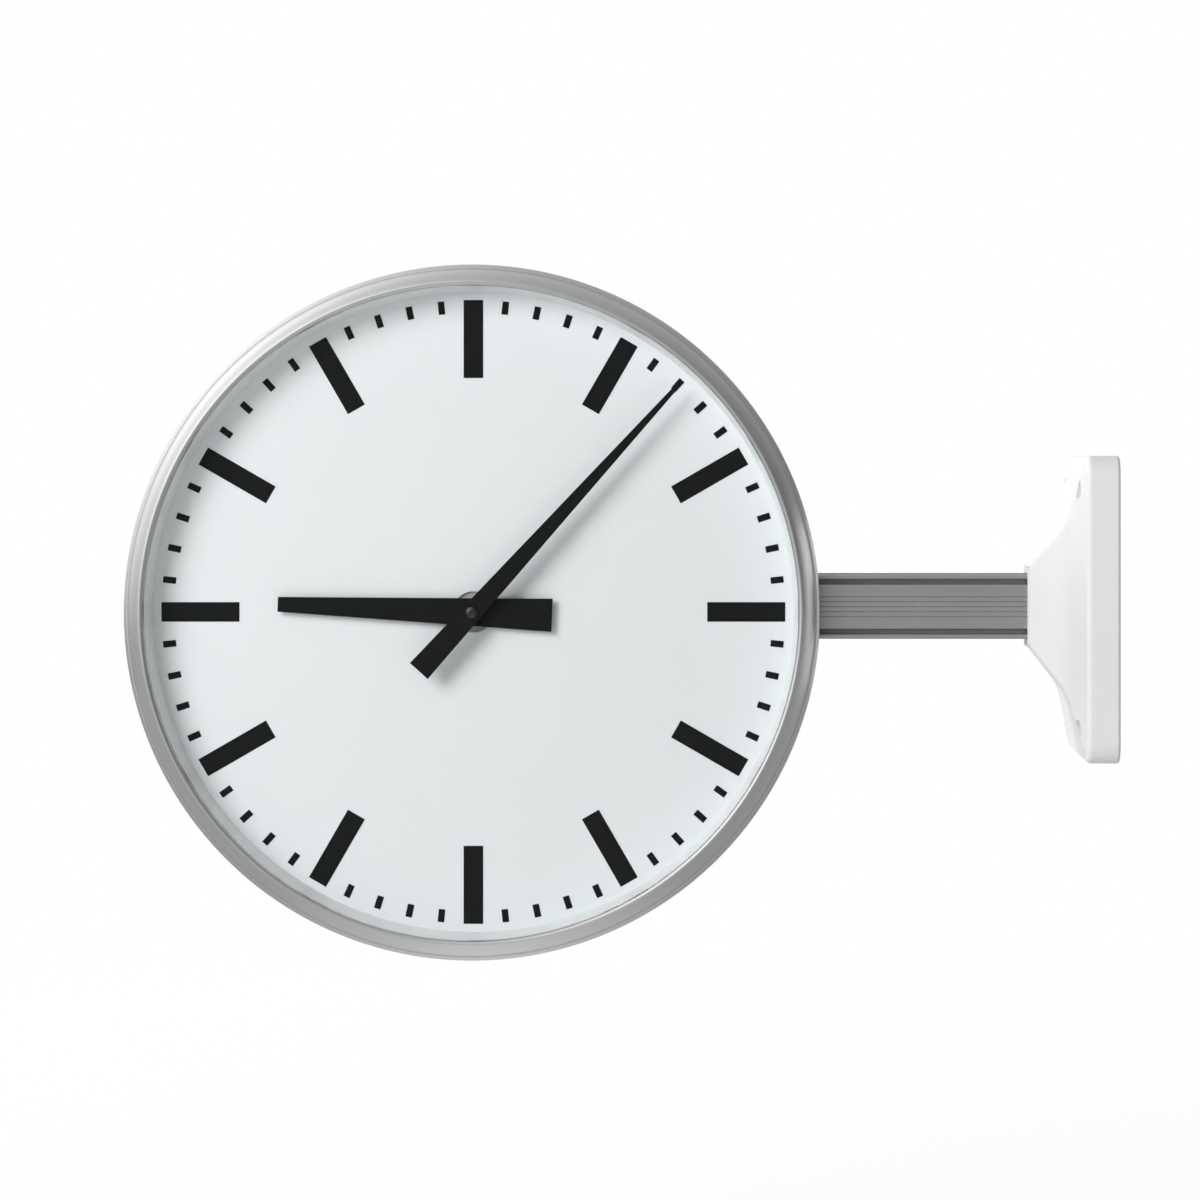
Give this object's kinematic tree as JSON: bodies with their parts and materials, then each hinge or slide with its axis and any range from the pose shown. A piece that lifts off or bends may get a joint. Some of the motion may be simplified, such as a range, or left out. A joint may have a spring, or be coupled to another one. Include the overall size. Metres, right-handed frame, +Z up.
{
  "type": "double-sided station clock",
  "caption": "Round double-faced wall-arm clock: white dials with black bars, tapered hands and geared movements in an aluminium drum on a square arm with a moulded bracket cover.",
  "frame": {"origin": "centre of the wall plate's back face, on the arm's centre line", "axes": "+X into the wall (outward normal of the wall face), +Z up, the front dial looks towards -Y"},
  "size_m": [0.456, 0.14, 0.32],
  "materials": {
    "bezel_aluminium": "satin anodised",
    "band_aluminium": "satin anodised",
    "arm_aluminium": "natural extrusion, fine die lines",
    "cast_alloy": "as cast",
    "clear_acrylic": "clear, polished",
    "spacer_paint": "satin silver-white",
    "dial_enamel": "semi-matt white enamel",
    "black_enamel": "satin black",
    "white_plastic": "moulded, fine texture",
    "plate_steel": "zinc plated",
    "terminal_plastic": "moulded",
    "movement_plastic": "moulded",
    "copper_wire": "enamelled wire",
    "lamination_steel": "stamped",
    "magnet_dark": "bonded magnet",
    "gear_plastic": "moulded acetal",
    "brass_parts": "turned and hobbed",
    "zinc_steel": "zinc plated"
  },
  "bodies": {
    "case": {"arm_profile": "arm_aluminium", "arm_screws": "zinc_steel", "arm_socket": "cast_alloy", "bracket_cover": "white_plastic", "case_ring": "band_aluminium", "cover_screws": "zinc_steel", "front_bezel": "bezel_aluminium", "front_bezel_screws": "zinc_steel", "front_coil_bobbin": "movement_plastic", "front_coil_winding": "copper_wire", "front_dial": "dial_enamel", "front_dial_brackets": "zinc_steel", "front_dial_marks": "black_enamel", "front_dial_studs": "zinc_steel", "front_lens": "clear_acrylic", "front_motion_post": "brass_parts", "front_movement_case": "movement_plastic", "front_movement_plate": "movement_plastic", "front_spacer_ring": "spacer_paint", "front_stator": "lamination_steel", "front_stud_nuts": "zinc_steel", "grub_screws": "zinc_steel", "rear_bezel": "bezel_aluminium", "rear_bezel_screws": "zinc_steel", "rear_coil_bobbin": "movement_plastic", "rear_coil_winding": "copper_wire", "rear_dial": "dial_enamel", "rear_dial_brackets": "zinc_steel", "rear_dial_marks": "black_enamel", "rear_dial_studs": "zinc_steel", "rear_lens": "clear_acrylic", "rear_motion_post": "brass_parts", "rear_movement_case": "movement_plastic", "rear_movement_plate": "movement_plastic", "rear_spacer_ring": "spacer_paint", "rear_stator": "lamination_steel", "rear_stud_nuts": "zinc_steel", "socket_screws": "zinc_steel", "terminal_block": "terminal_plastic", "wall_plate": "plate_steel"},
    "front_minute": {"front_minute_arbor": "brass_parts", "front_centre_wheel": "brass_parts", "front_minute_hand": "black_enamel", "front_hand_nut": "black_enamel"},
    "front_hour": {"front_hour_wheel": "brass_parts", "front_hour_hand": "black_enamel"},
    "front_motion": {"front_motion_wheel": "gear_plastic"},
    "front_intermediate": {"front_intermediate_wheel": "gear_plastic"},
    "front_rotor": {"front_rotor": "magnet_dark"},
    "rear_minute": {"rear_minute_arbor": "brass_parts", "rear_centre_wheel": "brass_parts", "rear_minute_hand": "black_enamel", "rear_hand_nut": "black_enamel"},
    "rear_hour": {"rear_hour_wheel": "brass_parts", "rear_hour_hand": "black_enamel"},
    "rear_motion": {"rear_motion_wheel": "gear_plastic"},
    "rear_intermediate": {"rear_intermediate_wheel": "gear_plastic"},
    "rear_rotor": {"rear_rotor": "magnet_dark"}
  },
  "joints": [
    {"name": "front_minute_turn", "type": "hinge", "parent": "case", "child": "front_minute", "pos_m": [-0.296, 0, -0.002], "axis": [0, 1, 0], "continuous": true},
    {"name": "front_hour_turn", "type": "hinge", "parent": "case", "child": "front_hour", "pos_m": [-0.296, 0, -0.002], "axis": [0, 1, 0], "continuous": true},
    {"name": "front_motion_turn", "type": "hinge", "parent": "case", "child": "front_motion", "pos_m": [-0.296, 0, -0.014], "axis": [0, 1, 0], "continuous": true},
    {"name": "front_intermediate_turn", "type": "hinge", "parent": "case", "child": "front_intermediate", "pos_m": [-0.3107, 0, -0.002], "axis": [0, 1, 0], "continuous": true},
    {"name": "front_rotor_turn", "type": "hinge", "parent": "case", "child": "front_rotor", "pos_m": [-0.3107, 0, 0.0106], "axis": [0, 1, 0], "continuous": true},
    {"name": "rear_minute_turn", "type": "hinge", "parent": "case", "child": "rear_minute", "pos_m": [-0.296, 0, -0.002], "axis": [0, -1, 0], "continuous": true},
    {"name": "rear_hour_turn", "type": "hinge", "parent": "case", "child": "rear_hour", "pos_m": [-0.296, 0, -0.002], "axis": [0, -1, 0], "continuous": true},
    {"name": "rear_motion_turn", "type": "hinge", "parent": "case", "child": "rear_motion", "pos_m": [-0.296, 0, -0.014], "axis": [0, -1, 0], "continuous": true},
    {"name": "rear_intermediate_turn", "type": "hinge", "parent": "case", "child": "rear_intermediate", "pos_m": [-0.2813, 0, -0.002], "axis": [0, -1, 0], "continuous": true},
    {"name": "rear_rotor_turn", "type": "hinge", "parent": "case", "child": "rear_rotor", "pos_m": [-0.2813, 0, 0.0106], "axis": [0, -1, 0], "continuous": true}
  ],
  "couplings": [
    {"joint": "front_hour_turn", "follows": "front_minute_turn", "ratio": 0.083333},
    {"joint": "front_motion_turn", "follows": "front_minute_turn", "ratio": -0.33333},
    {"joint": "front_intermediate_turn", "follows": "front_minute_turn", "ratio": -6},
    {"joint": "front_rotor_turn", "follows": "front_minute_turn", "ratio": 30},
    {"joint": "rear_hour_turn", "follows": "rear_minute_turn", "ratio": 0.083333},
    {"joint": "rear_motion_turn", "follows": "rear_minute_turn", "ratio": -0.33333},
    {"joint": "rear_intermediate_turn", "follows": "rear_minute_turn", "ratio": -6},
    {"joint": "rear_rotor_turn", "follows": "rear_minute_turn", "ratio": 30}
  ]
}
